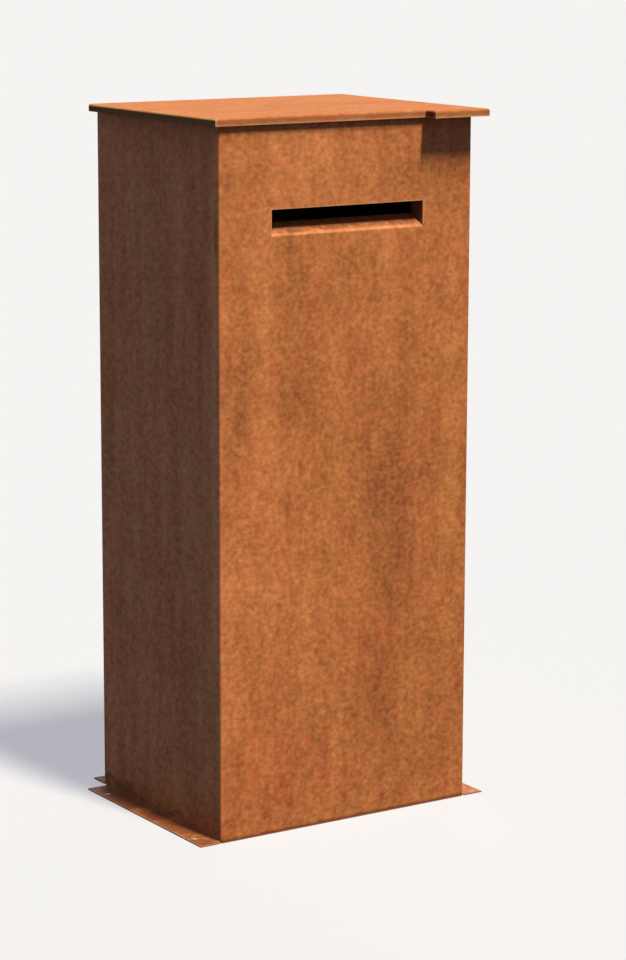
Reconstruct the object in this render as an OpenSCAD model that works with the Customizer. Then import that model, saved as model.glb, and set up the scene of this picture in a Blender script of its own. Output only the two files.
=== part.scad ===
// Floor-standing mailbox folded from weathering-steel sheet.
// Origin: centre of the side feet's anchor holes, on the floor.
// +X to the right seen from the front, +Y towards the back, +Z up. Millimetres.

/* [Body] */
// Width of the box over its side walls
body_w = 400; // [320:1:500]
// Depth of the box from its front face to the rear face of the back panel
body_d = 320; // [260:1:400]
// Height of the walls' top edges above the floor
body_h = 962; // [880:1:1200]
// Thickness of the body's sheet
sheet = 2; // [1.5:0.1:3]
// Inside radius of each fold in the body's sheet
fold_r = 2; // [1:0.5:3]
// Width of the inward fold along the top of the front and side walls
top_fold_w = 15; // [12:1:25]
// Width of the saw cut where the top folds meet at the front corners
fold_mitre = 0.8; // [0.5:0.1:2]
// Width of the inward fold down the rear edge of each side wall
rear_fold_w = 20; // [18:1:30]
// How far the back panel's edges stay inside the side walls' outer faces
panel_inset = 1; // [0.5:0.5:2]

/* [Feet] */
// Reach of each foot from the wall that it is folded from
foot_w = 32; // [28:1:50]
// How far the side feet stop short of the back panel's rear face
foot_stop = 10; // [5:1:30]
// Diameter of the anchor holes
anchor_d = 9; // [6:0.5:12]
// From each end of a side foot to its nearest anchor hole
anchor_inset = 35; // [20:1:60]
// From a wall's outer face to the anchor holes beside it
anchor_offset = 20; // [16:0.5:22]
// Distance between the back foot's two anchor holes
rear_anchor_pitch = 240; // [120:1:280]

/* [Mail slot] */
// Width of the slot
slot_w = 240; // [180:1:280]
// Height of the slot's cut-out
slot_h = 36; // [32:1:45]
// Height of the slot's lower edge above the floor
slot_z = 809; // [700:1:820]
// Straight length of the lip that is bent in from the slot's lower edge
lip_len = 28; // [15:1:30]
// Rise of the lip above the horizontal, in degrees
lip_rise = 28; // [10:1:40]
// Gap between the lip's ends and the slot's ends
lip_gap = 0.5; // [0.3:0.1:1]
// Depth of the hood behind the front wall
hood_depth = 25; // [15:1:40]
// Drop of the hood's cheeks below the slot's lower edge
hood_drop = 6; // [3:1:12]

/* [Lid] */
// Thickness of the lid's sheet
lid_sheet = 2; // [1.5:0.1:3]
// Inside radius of the lid's folds
lid_fold_r = 1; // [0.5:0.5:2]
// Height of the lid's rim, top plate included
lid_rim_h = 10; // [9:1:25]
// Overhang of the lid past each side wall
lid_side_over = 8; // [5:1:15]
// Overhang of the lid past the front wall
lid_front_over = 5; // [4:1:15]
// Overhang of the lid past the back panel, which stops it when it is open
lid_rear_over = 8; // [6:1:12]
// Gap between the walls' top edges and the underside of the lid's plate
lid_gap = 2; // [1.5:0.1:3]
// Width of the lifting tab at the right-hand end of the lid's front edge
tab_w = 89; // [60:1:120]
// Reach of the lifting tab past the rest of the front edge
tab_reach = 24; // [15:1:40]
// Diameter of the rubber buffers under the lid
buffer_d = 12; // [8:1:14]
// Distance between the two buffers
buffer_pitch = 300; // [200:1:310]
// Gap between a buffer and the fold it comes down on
buffer_gap = 0.3; // [0.3:0.1:0.6]

/* [Hinges] */
// Distance between the two hinges' middles
hinge_pitch = 240; // [160:1:260]
// Width of a hinge
hinge_w = 60; // [40:1:80]
// Thickness of a hinge leaf
leaf_t = 2; // [1.5:0.1:2.5]
// Outside diameter of a hinge knuckle
knuckle_d = 10; // [9:0.5:12]
// Gap between neighbouring knuckles
knuckle_gap = 0.5; // [0.3:0.1:1]
// Diameter of a hinge pin
pin_d = 5; // [4:0.5:6]
// Clearance around a hinge pin, on the radius
pin_clear = 0.05; // [0.02:0.01:0.09]
// Diameter of the heads that close a hinge pin's ends
pin_head_d = 7; // [6.5:0.1:9]
// Height of the heads that close a hinge pin's ends
pin_head_h = 1.5; // [1:0.1:3]
// Length of the fixed leaf below the pin
fixed_leaf_h = 40; // [34:1:60]
// Length of the lid leaf in front of the pin
lid_leaf_len = 35; // [25:1:50]
// From each end of a hinge to its rivets
leaf_rivet_end = 10; // [8:1:15]
// From the fixed leaf's lower edge to its lower rivets
leaf_rivet_edge = 8; // [6:1:10]
// Height between the fixed leaf's two rows of rivets
leaf_rivet_rise = 11; // [9:1:12]
// Gap between a turning knuckle and the sheet or leaf near it
knuckle_room = 1; // [0.5:0.1:1.5]

/* [Letter floor] */
// Height of the letter floor's upper face above the ground
floor_z = 560; // [400:1:620]
// Gap between the letter floor's edges and the walls around it
floor_gap = 2; // [1:0.5:4]
// Depth of the folds along the letter floor's front and back edges
floor_fold_h = 15; // [10:1:25]
// Width of each leg of the rails that carry the letter floor
rail_w = 20; // [12:1:30]
// Gap between each end of a rail and the folds of the letter floor
rail_end_gap = 5; // [2:1:15]

/* [Rivets] */
// Diameter of a rivet's shank
rivet_d = 4; // [3:0.1:5]
// Clearance around a rivet's shank, on the radius
rivet_clear = 0.05; // [0.02:0.01:0.1]
// Diameter of a rivet's head
rivet_head_d = 7.5; // [6.5:0.1:9]
// Height of a rivet's head
rivet_head_h = 1.2; // [0.8:0.1:2]
// Diameter of the tail that a rivet forms on the blind side
rivet_tail_d = 5.6; // [5.4:0.1:6.5]
// Height of the tail
rivet_tail_h = 2; // [1:0.1:3]
// Chamfer round the tail's end
rivet_chamfer = 0.6; // [0.2:0.1:0.8]
// Rivets in each row up the back panel
rivet_count = 6; // [3:1:10]
// Height of the lowest and highest rivets from the back panel's ends
rivet_end = 50; // [40:1:90]

/* [Hidden] */
$fn = 64;
eps = 0.5;       // overrun of a cut past the faces that it goes through

// Places of the walls
side_foot_len = body_d - foot_stop;
front_y = -side_foot_len / 2;
back_y = front_y + body_d;
half_w = body_w / 2;
panel_front_y = back_y - sheet;           // where the back panel lies on the rear folds
corner_r = fold_r + sheet;                // outside radius of a fold
fold_top_z = sheet + fold_r;              // where a foot's fold meets its wall

// Places of the lid
plate_z = body_h + lid_gap;               // underside of the lid's plate
lid_top_z = plate_z + lid_sheet;
rim_z = lid_top_z - lid_rim_h;
lid_half_w = half_w + lid_side_over;
lid_front_y = front_y - lid_front_over;
lid_back_y = back_y + lid_rear_over;
tab_front_y = lid_front_y - tab_reach;
tab_x = lid_half_w - tab_w;

// Places of the hinges: the pin's axis runs over the middle of the back panel
knuckle_r = knuckle_d / 2;
pin_y = back_y - sheet / 2;
pin_z = plate_z - knuckle_room / 2 - knuckle_r;
bore_r = pin_d / 2 + pin_clear;
knuckle_w = hinge_w / 2;                  // the lid leaf's knuckle
end_knuckle_w = (hinge_w - knuckle_w) / 2 - knuckle_gap;
leaf_rivet_x = hinge_w / 2 - leaf_rivet_end;
leaf_low_z = pin_z - fixed_leaf_h + leaf_rivet_edge;
leaf_rivet_z = [leaf_low_z, leaf_low_z + leaf_rivet_rise];

// Places of the letter floor
floor_half_w = half_w - sheet - floor_gap;
floor_front_y = front_y + sheet + floor_gap;
floor_back_y = panel_front_y - sheet - floor_gap;
rail_front_y = floor_front_y + sheet + rail_end_gap;
rail_back_y = floor_back_y - sheet - rail_end_gap;

// Places of the back panel's rivets
rear_rivet_x = half_w - rear_fold_w / 2;
rivet_low_z = fold_top_z + rivet_end;
rivet_step = (body_h - rivet_end - rivet_low_z) / (rivet_count - 1);

// Plan of a box with round corners, between two Y values
module round_plan(half_width, y0, y1, r) {
  translate([-half_width + r, y0]) square([2 * (half_width - r), y1 - y0]);
  translate([-half_width, y0 + r]) square([2 * half_width, y1 - y0 - 2 * r]);
  for (x = [-half_width + r, half_width - r], y = [y0 + r, y1 - r])
    translate([x, y]) circle(r);
}

// Plan of the folded walls: front, sides and the two folds down the rear edges
module wall_plan() {
  difference() {
    round_plan(half_w, front_y, panel_front_y, corner_r);
    round_plan(half_w - sheet, front_y + sheet, panel_front_y - sheet, fold_r);
    translate([-half_w + rear_fold_w, panel_front_y - sheet - eps])
      square([body_w - 2 * rear_fold_w, sheet + 2 * eps]);
  }
}

// Plan of the inward fold along the walls' top edges, mitred at the front corners
module top_fold_plan() {
  difference() {
    round_plan(half_w, front_y, panel_front_y, corner_r);
    translate([-half_w + top_fold_w, front_y + top_fold_w])
      square([body_w - 2 * top_fold_w, body_d]);
    translate([-half_w + sheet, panel_front_y - sheet - rear_fold_w])
      square([body_w - 2 * sheet, body_d]);
    for (side = [-1, 1])
      translate([side * (half_w - corner_r), front_y + corner_r])
        rotate(side > 0 ? 135 : 45)
          translate([0, -fold_mitre / 2]) square([2 * top_fold_w, fold_mitre]);
  }
}

// Section of a foot and its fold: the wall's outer face is x = 0, the foot runs to -x
module foot_section() {
  translate([-foot_w, 0]) square([foot_w - fold_r, sheet]);
  translate([-fold_r, fold_top_z]) intersection() {
    difference() {
      circle(corner_r);
      circle(fold_r);
    }
    translate([0, -corner_r]) square(corner_r);
  }
}

// The left-hand side foot, with its anchor holes
module side_foot() {
  bend_y = front_y + corner_r;
  difference() {
    union() {
      translate([-half_w - foot_w, front_y, 0]) cube([foot_w - fold_r, side_foot_len, sheet]);
      translate([-half_w, front_y + side_foot_len, 0]) rotate([90, 0, 0])
        linear_extrude(side_foot_len - corner_r) foot_section();
    }
    for (y = [-1, 1])
      translate([-half_w - anchor_offset, y * (side_foot_len / 2 - anchor_inset), -eps])
        cylinder(d = anchor_d, h = sheet + 2 * eps);
  }
}

// Points along an arc about the origin, between two angles
function arc(r, from, to, steps = 8) =
  [for (i = [0:steps]) let (a = from + (to - from) * i / steps) [r * cos(a), r * sin(a)]];

// Section of the lip in the Y-Z plane, bent in from the slot's lower edge: its outer arc,
// its free end and its inner arc
module lip_section() {
  turn = 90 + lip_rise;
  outer = arc(corner_r, 180, turn);
  inner = arc(fold_r, turn, 180);
  run = lip_len * [cos(lip_rise), sin(lip_rise)];
  polygon(concat(outer, [outer[len(outer) - 1] + run, inner[0] + run], inner));
}

// A bore or rivet hole along Y
module hole_y(x, y, z, d, depth) {
  translate([x, y, z]) rotate([-90, 0, 0]) cylinder(d = d, h = depth);
}

// Front and both side walls, folded from one sheet with the side feet and the slot's lip
module body_shell() {
  color("#b06a3a") {
    difference() {
      union() {
        linear_extrude(body_h) wall_plan();
        translate([0, 0, body_h - sheet]) linear_extrude(sheet) top_fold_plan();
      }
      translate([-slot_w / 2, front_y - eps, slot_z]) cube([slot_w, sheet + 2 * eps, slot_h]);
      for (side = [-1, 1])
        translate([side * half_w - 2 * sheet, front_y + corner_r, 0])
          cube([4 * sheet, side_foot_len - corner_r, fold_top_z]);
      for (side = [-1, 1], i = [0:rivet_count - 1])
        hole_y(side * rear_rivet_x, panel_front_y - sheet - eps, rivet_low_z + i * rivet_step,
               rivet_d + 2 * rivet_clear, sheet + 2 * eps);
    }
    side_foot();
    mirror([1, 0, 0]) side_foot();
    translate([slot_w / 2 - lip_gap, front_y + corner_r, slot_z]) rotate([90, 0, -90])
      mirror([1, 0, 0]) linear_extrude(slot_w - 2 * lip_gap) lip_section();
  }
}

// Flat back panel with the back foot folded out at its lower edge
module back_panel() {
  panel_w = body_w - 2 * panel_inset;
  notch_w = hinge_w + 2 * (pin_head_h + knuckle_room);
  notch_z = pin_z - knuckle_r - knuckle_room;
  color("#8a5535") difference() {
    union() {
      translate([-panel_w / 2, panel_front_y, fold_top_z])
        cube([panel_w, sheet, body_h - fold_top_z]);
      translate([panel_w / 2, back_y, 0]) rotate([90, 0, -90])
        linear_extrude(panel_w) foot_section();
    }
    for (side = [-1, 1]) {
      translate([side * hinge_pitch / 2 - notch_w / 2, panel_front_y - eps, notch_z])
        cube([notch_w, sheet + 2 * eps, body_h]);
      translate([side * rear_anchor_pitch / 2, back_y + anchor_offset, -eps])
        cylinder(d = anchor_d, h = sheet + 2 * eps);
      for (i = [0:rivet_count - 1])
        hole_y(side * rear_rivet_x, panel_front_y - eps, rivet_low_z + i * rivet_step,
               rivet_d + 2 * rivet_clear, sheet + 2 * eps);
      for (dx = [-1, 1], z = leaf_rivet_z)
        hole_y(side * hinge_pitch / 2 + dx * leaf_rivet_x, panel_front_y - eps, z,
               rivet_d + 2 * rivet_clear, sheet + 2 * eps);
    }
  }
}

// Hood behind the slot: two cheeks and a roof, folded as an upturned channel
module slot_hood() {
  cheek_z = slot_z - hood_drop;
  roof_z = slot_z + slot_h;
  color("#6e4a33") translate([0, front_y + sheet, 0]) {
    translate([-slot_w / 2, 0, roof_z]) cube([slot_w, hood_depth, sheet]);
    for (side = [-1, 1])
      translate([side * (slot_w + sheet) / 2 - sheet / 2, 0, cheek_z])
        cube([sheet, hood_depth, roof_z + sheet - cheek_z]);
  }
}

// Section of a block with a flat underside and round upper corners
module round_top(a0, a1, z0, z1, r) {
  translate([a0, z0]) square([a1 - a0, z1 - z0 - r]);
  translate([a0 + r, z0]) square([a1 - a0 - 2 * r, z1 - z0]);
  for (a = [a0 + r, a1 - r])
    translate([a, z1 - r]) circle(r);
}

// Block whose round upper edges meet in mitres, as folded rims do
module round_block(x0, x1, y0, y1, z0, z1, r) {
  intersection() {
    translate([0, y1, 0]) rotate([90, 0, 0])
      linear_extrude(y1 - y0) round_top(x0, x1, z0, z1, r);
    translate([x0, 0, 0]) rotate([90, 0, 90])
      linear_extrude(x1 - x0) round_top(y0, y1, z0, z1, r);
  }
}

// Outer or inner form of the lid: the main plate and the lifting tab
module lid_form(inset, z0, z1, r) {
  past = 10;      // carries the rear rounding past the plain rear edge
  round_block(-lid_half_w + inset, lid_half_w - inset, lid_front_y + inset,
              lid_back_y + past, z0, z1, r);
  round_block(tab_x + inset, lid_half_w - inset, tab_front_y + inset,
              front_y + body_d / 2, z0, z1, r);
}

// Lid folded from one sheet: rims at the front and sides, plain at the rear
module lid() {
  color("#d98a58") difference() {
    lid_form(0, rim_z, lid_top_z, lid_fold_r + lid_sheet);
    lid_form(lid_sheet, rim_z - eps, plate_z, lid_fold_r);
    translate([-body_w, lid_back_y, rim_z - eps]) cube([2 * body_w, body_w, lid_rim_h + 2 * eps]);
  }
}

// Rubber buffers under the lid's front corners
module lid_buffers() {
  color("#2b2b2b")
    for (side = [-1, 1])
      translate([side * buffer_pitch / 2, front_y + top_fold_w / 2, body_h + buffer_gap])
        cylinder(d = buffer_d, h = lid_gap - buffer_gap);
}

// One knuckle along X, not yet bored
module knuckle(x0, width) {
  translate([x0, pin_y, pin_z]) rotate([0, 90, 0]) cylinder(r = knuckle_r, h = width);
}

module pin_bore() {
  translate([-hinge_w, pin_y, pin_z]) rotate([0, 90, 0]) cylinder(r = bore_r, h = 2 * hinge_w);
}

// Fixed leaf: two end knuckles on a plate that is riveted to the back panel
module hinge_fixed_leaf() {
  gap_w = knuckle_w + 2 * knuckle_gap;
  leaf_z = pin_z - fixed_leaf_h;
  difference() {
    union() {
      translate([-hinge_w / 2, back_y, leaf_z]) cube([hinge_w, leaf_t, fixed_leaf_h]);
      knuckle(-hinge_w / 2, end_knuckle_w);
      knuckle(hinge_w / 2 - end_knuckle_w, end_knuckle_w);
    }
    translate([-gap_w / 2, back_y - eps, pin_z - knuckle_r - knuckle_room])
      cube([gap_w, leaf_t + 2 * eps, knuckle_d]);
    pin_bore();
    for (dx = [-1, 1], z = leaf_rivet_z)
      hole_y(dx * leaf_rivet_x, back_y - eps, z, rivet_d + 2 * rivet_clear, leaf_t + 2 * eps);
  }
}

// Lid leaf: the middle knuckle and a plate welded under the lid
module hinge_lid_leaf() {
  leaf_z = plate_z - leaf_t;
  plate_end_y = pin_y - knuckle_r - knuckle_room;
  difference() {
    union() {
      translate([-hinge_w / 2, pin_y - lid_leaf_len, leaf_z])
        cube([hinge_w, plate_end_y - pin_y + lid_leaf_len, leaf_t]);
      translate([-knuckle_w / 2, plate_end_y - eps, leaf_z])
        cube([knuckle_w, pin_y - plate_end_y + eps, leaf_t]);
      knuckle(-knuckle_w / 2, knuckle_w);
    }
    pin_bore();
  }
}

// Pin with a head at each end
module hinge_pin() {
  translate([-hinge_w / 2, pin_y, pin_z]) rotate([0, 90, 0]) {
    cylinder(d = pin_d, h = hinge_w);
    for (z = [-pin_head_h, hinge_w])
      translate([0, 0, z]) cylinder(d = pin_head_d, h = pin_head_h);
  }
}

module at_hinge(side) {
  translate([side * hinge_pitch / 2, 0, 0]) children();
}

// Blind rivet along Y through a stack of sheets that ends at y = 0, its head outside
module rivet(stack) {
  tail_y = -stack - rivet_tail_h;
  tail_r = rivet_tail_d / 2;
  head_r = rivet_head_d / 2;
  rotate([-90, 0, 0]) rotate_extrude()
    polygon([[0, tail_y], [tail_r - rivet_chamfer, tail_y], [tail_r, tail_y + rivet_chamfer],
             [tail_r, -stack], [rivet_d / 2, -stack], [rivet_d / 2, 0], [head_r, 0],
             [head_r, rivet_head_h / 4], [head_r / 2, rivet_head_h], [0, rivet_head_h]]);
}

module hinge_rivets() {
  color("#9a9894")
    for (side = [-1, 1], dx = [-1, 1], z = leaf_rivet_z)
      translate([side * hinge_pitch / 2 + dx * leaf_rivet_x, back_y + leaf_t, z])
        rivet(sheet + leaf_t);
}

module back_panel_rivets() {
  color("#9a9894")
    for (side = [-1, 1], i = [0:rivet_count - 1])
      translate([side * rear_rivet_x, back_y, rivet_low_z + i * rivet_step]) rivet(2 * sheet);
}

// Floor that the letters fall on, with folds down its front and back edges
module letter_floor() {
  depth = floor_back_y - floor_front_y;
  color("#7d4d30") {
    translate([-floor_half_w, floor_front_y, floor_z - sheet])
      cube([2 * floor_half_w, depth, sheet]);
    for (y = [floor_front_y, floor_back_y - sheet])
      translate([-floor_half_w, y, floor_z - floor_fold_h])
        cube([2 * floor_half_w, sheet, floor_fold_h]);
  }
}

// Angle rail on the left-hand wall
module floor_rail() {
  length = rail_back_y - rail_front_y;
  rail_top_z = floor_z - sheet;
  translate([-half_w + sheet, rail_front_y, 0]) {
    translate([0, 0, rail_top_z - rail_w]) cube([sheet, length, rail_w]);
    translate([0, 0, rail_top_z - sheet]) cube([rail_w, length, sheet]);
  }
}

body_shell();
back_panel();
slot_hood();
lid();
lid_buffers();
color("#75665a") at_hinge(-1) hinge_fixed_leaf();  // left_hinge_fixed_leaf
color("#75665a") at_hinge(1) hinge_fixed_leaf();  // right_hinge_fixed_leaf
color("#8c7a6b") at_hinge(-1) hinge_lid_leaf();  // left_hinge_lid_leaf
color("#8c7a6b") at_hinge(1) hinge_lid_leaf();  // right_hinge_lid_leaf
color("#b9b4ac") at_hinge(-1) hinge_pin();  // left_hinge_pin
color("#b9b4ac") at_hinge(1) hinge_pin();  // right_hinge_pin
hinge_rivets();
back_panel_rivets();
letter_floor();
color("#7d4d30") floor_rail();  // left_floor_rail
color("#7d4d30") mirror([1, 0, 0]) floor_rail();  // right_floor_rail
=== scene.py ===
"""Looks of a floor-standing mailbox folded from weathering-steel sheet.

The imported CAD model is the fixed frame. This script gives every sheet its weathered finish,
makes the turned and welded small parts that a metalwork shop would fit, and sets up the
floor, the light and the camera. Lengths are in metres unless a name ends in _mm.
"""

import logging
import math
from dataclasses import dataclass, field
from enum import Enum
from typing import Any, Iterable, Sequence

import bmesh
import bpy
from mathutils import Matrix, Vector


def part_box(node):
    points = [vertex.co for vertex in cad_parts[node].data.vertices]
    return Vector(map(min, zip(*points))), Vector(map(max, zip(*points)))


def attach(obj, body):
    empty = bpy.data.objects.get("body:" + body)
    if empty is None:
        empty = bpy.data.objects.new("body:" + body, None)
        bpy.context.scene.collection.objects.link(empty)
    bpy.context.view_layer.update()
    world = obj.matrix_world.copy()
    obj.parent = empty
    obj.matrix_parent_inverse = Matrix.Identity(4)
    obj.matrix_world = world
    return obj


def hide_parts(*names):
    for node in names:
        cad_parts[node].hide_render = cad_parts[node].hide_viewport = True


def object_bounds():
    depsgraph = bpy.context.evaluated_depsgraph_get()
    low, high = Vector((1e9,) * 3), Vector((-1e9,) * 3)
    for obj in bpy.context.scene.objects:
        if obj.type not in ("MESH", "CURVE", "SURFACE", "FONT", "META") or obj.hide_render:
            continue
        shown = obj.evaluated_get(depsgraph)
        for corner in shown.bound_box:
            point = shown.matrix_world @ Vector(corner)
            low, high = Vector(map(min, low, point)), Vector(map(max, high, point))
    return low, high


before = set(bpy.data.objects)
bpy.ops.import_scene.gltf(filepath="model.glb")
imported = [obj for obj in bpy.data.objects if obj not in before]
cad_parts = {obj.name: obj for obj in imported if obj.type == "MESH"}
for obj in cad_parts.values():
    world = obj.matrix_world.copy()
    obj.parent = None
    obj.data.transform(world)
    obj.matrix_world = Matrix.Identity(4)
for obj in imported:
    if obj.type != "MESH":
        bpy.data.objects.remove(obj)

CAD_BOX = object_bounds()
MM = 0.001
log = logging.getLogger("mailbox")

Tree = bpy.types.NodeTree
Socket = bpy.types.NodeSocket
Point = tuple[float, float, float]
Pair = tuple[float, float]
Run = tuple[Point, Point]
Stops = Sequence[tuple[float, str]]

GREY = (0.5, 0.5, 0.5)             # the mean of a noise's colour
SHARP = math.radians(38)           # edges that turn more than this stay crisp


# ------------------------------------------------------------------ small helpers


def srgb(code: str) -> tuple[float, float, float, float]:
    """Turns an sRGB hex colour into linear light.

    Args:
        code: Six hex digits, such as "B06A3A".

    Returns:
        Linear red, green and blue, and an alpha of 1.
    """
    parts = [int(code[i:i + 2], 16) / 255 for i in (0, 2, 4)]
    linear = [c / 12.92 if c <= 0.04045 else ((c + 0.055) / 1.055) ** 2.4 for c in parts]
    return linear[0], linear[1], linear[2], 1.0


def add_node(
    tree: Tree,
    kind: str,
    inputs: dict[str | int, Any] | None = None,
    **settings: Any,
) -> bpy.types.Node:
    """Adds a node, sets its properties, and fills or links its inputs.

    Args:
        tree: The material's or modifier's node tree.
        kind: The node's type name.
        inputs: A value or an output socket for each named or numbered input.
        **settings: The node's own properties.

    Returns:
        The new node.
    """
    node = tree.nodes.new(kind)
    for name, value in settings.items():
        setattr(node, name, value)
    for key, value in (inputs or {}).items():
        if isinstance(value, Socket):
            tree.links.new(value, node.inputs[key])
        else:
            node.inputs[key].default_value = value
    return node


def fill_ramp(node: bpy.types.Node, stops: Stops) -> None:
    """Sets a colour ramp's stops.

    Args:
        node: The Color Ramp node.
        stops: Position and sRGB hex colour of each stop, in order.
    """
    ramp = node.color_ramp
    while len(ramp.elements) < len(stops):
        ramp.elements.new(1.0)
    for element, (place, code) in zip(ramp.elements, stops):
        element.position = place
        element.color = srgb(code)


def link_object(name: str, data: bpy.types.ID) -> bpy.types.Object:
    """Makes an object and puts it in the scene.

    Args:
        name: The object's name.
        data: Its mesh, light or camera.

    Returns:
        The object.
    """
    made = bpy.data.objects.new(name, data)
    bpy.context.scene.collection.objects.link(made)
    return made


def mesh_from(
    name: str, points: Iterable[Point], edges: Iterable[tuple[int, int]] = (),
) -> bpy.types.Mesh:
    """Makes a mesh of points and edges, for a node tree to build on.

    Args:
        name: The mesh's name.
        points: Its points.
        edges: The two points that each edge joins.

    Returns:
        The mesh.
    """
    mesh = bpy.data.meshes.new(name)
    mesh.from_pydata([tuple(p) for p in points], list(edges), [])
    return mesh


def solids_of(node: str) -> list[tuple[Vector, Vector]]:
    """Finds the boxes of the separate solids in a CAD node.

    Args:
        node: The CAD node's name.

    Returns:
        Lowest and highest corner of each solid, from left to right and from low to high.
    """
    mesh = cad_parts[node].data
    key_of = {v.index: tuple(round(c, 6) for c in v.co) for v in mesh.vertices}
    parent: dict[Point, Point] = {k: k for k in key_of.values()}

    def root(key: Point) -> Point:
        """Follows the links to the key that stands for a whole solid.

        Args:
            key: Any point of the solid.

        Returns:
            The point that stands for it.
        """
        while parent[key] != key:
            parent[key] = parent[parent[key]]
            key = parent[key]
        return key

    for polygon in mesh.polygons:
        first, *rest = [root(key_of[i]) for i in polygon.vertices]
        for other in rest:
            parent[root(other)] = root(first)
    groups: dict[Point, list[Point]] = {}
    for key in parent:
        groups.setdefault(root(key), []).append(key)
    boxes = [
        (Vector(map(min, *members)), Vector(map(max, *members))) for members in groups.values()
    ]
    return sorted(boxes, key=lambda b: (round(b[0].x, 4), round(b[0].z, 4)))


# ------------------------------------------------------------------ finishes


@dataclass(frozen=True)
class Blotches:
    """One noise of a pattern.

    Attributes:
        size_mm: Size of its blotches along X, Y and Z.
        share: How far it moves the pattern's tone.
        detail: Octaves of finer noise on top.
        seed: Shift that keeps it apart from the other noises.
    """

    size_mm: Point
    share: float
    detail: float = 1.0
    seed: float = 0.0


@dataclass(frozen=True)
class Patch:
    """A soft-edged patch, lighter or darker than the sheet around it.

    Attributes:
        middle_mm: Its middle along X, Y and Z.
        reach_mm: How far it reaches from there along X, Y and Z.
        tone: How far it moves the tone at its middle.
        hue: How far it moves the hue, towards red where positive.
        crisp: Whether its outline stays straight.
    """

    middle_mm: Point
    reach_mm: Point
    tone: float
    hue: float = 0.0
    crisp: bool = False


def add_up(
    tree: Tree,
    coords: Socket,
    noises: Sequence[Blotches],
    middle: float = 0.5,
) -> Socket:
    """Adds noises up around a middle value.

    Args:
        tree: The material's node tree.
        coords: Coordinates in metres.
        noises: The noises.
        middle: The sum's mean value.

    Returns:
        The sum's socket.
    """
    total: Any = middle - 0.5 * sum(n.share for n in noises)
    for noise in noises:
        placed = add_node(tree, "ShaderNodeMapping", {
            "Vector": coords,
            "Location": (noise.seed, 1.7 * noise.seed, 2.3 * noise.seed),
            "Scale": tuple(1 / (MM * size) for size in noise.size_mm),
        })
        value = add_node(tree, "ShaderNodeTexNoise", {
            "Vector": placed.outputs[0], "Scale": 1.0, "Detail": noise.detail,
        })
        total = add_node(tree, "ShaderNodeMath", {
            0: value.outputs["Fac"], 1: noise.share, 2: total,
        }, operation="MULTIPLY_ADD").outputs[0]
    return total


def add_patches(
    tree: Tree,
    coords: Socket,
    stirred: Socket,
    patches: Sequence[Patch],
    tone: Socket,
    hue: Socket,
) -> tuple[Socket, Socket]:
    """Adds patches to a tone and a hue.

    Args:
        tree: The material's node tree.
        coords: Coordinates in metres.
        stirred: The same, bent a little, for patches with an uneven outline.
        patches: The patches.
        tone: The tone so far.
        hue: The hue so far.

    Returns:
        The new tone and hue.
    """
    for patch in patches:
        placed = add_node(tree, "ShaderNodeMapping", {
            "Vector": coords if patch.crisp else stirred,
            "Location": tuple(-m / r for m, r in zip(patch.middle_mm, patch.reach_mm)),
            "Scale": tuple(1 / (MM * r) for r in patch.reach_mm),
        })
        ball = add_node(tree, "ShaderNodeTexGradient", {"Vector": placed.outputs[0]},
                        gradient_type="SPHERICAL")
        soft = add_node(tree, "ShaderNodeMapRange", {"Value": ball.outputs["Fac"]},
                        interpolation_type="SMOOTHSTEP").outputs[0]
        tone = add_node(tree, "ShaderNodeMath", {0: soft, 1: patch.tone, 2: tone},
                        operation="MULTIPLY_ADD").outputs[0]
        if patch.hue:
            hue = add_node(tree, "ShaderNodeMath", {0: soft, 1: patch.hue, 2: hue},
                           operation="MULTIPLY_ADD").outputs[0]
    return tone, hue


def new_surface(
    name: str, specular: float = 0.5,
) -> tuple[bpy.types.Material, Tree, bpy.types.Node, Socket]:
    """Starts a material.

    Args:
        name: The material's name.
        specular: Its shader's specular level.

    Returns:
        The material, its tree, its shader and the socket of its Object coordinates.
    """
    material = bpy.data.materials.new(name)
    material.use_nodes = True
    tree = material.node_tree
    tree.nodes.clear()
    shader = add_node(tree, "ShaderNodeBsdfPrincipled", {"Specular IOR Level": specular})
    add_node(tree, "ShaderNodeOutputMaterial", {"Surface": shader.outputs[0]})
    coords = add_node(tree, "ShaderNodeTexCoord").outputs["Object"]
    return material, tree, shader, coords


def edge_mask(tree: Tree, radius_mm: float, turn: Pair) -> Socket:
    """Finds the places near an outer or inner edge.

    Args:
        tree: The material's node tree.
        radius_mm: How far the mask reaches from the edge.
        turn: Turn of the surface at which the mask starts and at which it is full, 0 being flat.

    Returns:
        A socket that is 1 along edges and 0 on flat sheet.
    """
    rounded = add_node(tree, "ShaderNodeBevel", {"Radius": radius_mm * MM}, samples=6)
    flat = add_node(tree, "ShaderNodeNewGeometry")
    facing = add_node(tree, "ShaderNodeVectorMath", {
        0: rounded.outputs[0], 1: flat.outputs["True Normal"],
    }, operation="DOT_PRODUCT")
    return add_node(tree, "ShaderNodeMapRange", {
        "Value": facing.outputs["Value"], "From Min": 1 - turn[0], "From Max": 1 - turn[1],
    }, interpolation_type="SMOOTHSTEP").outputs[0]


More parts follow.
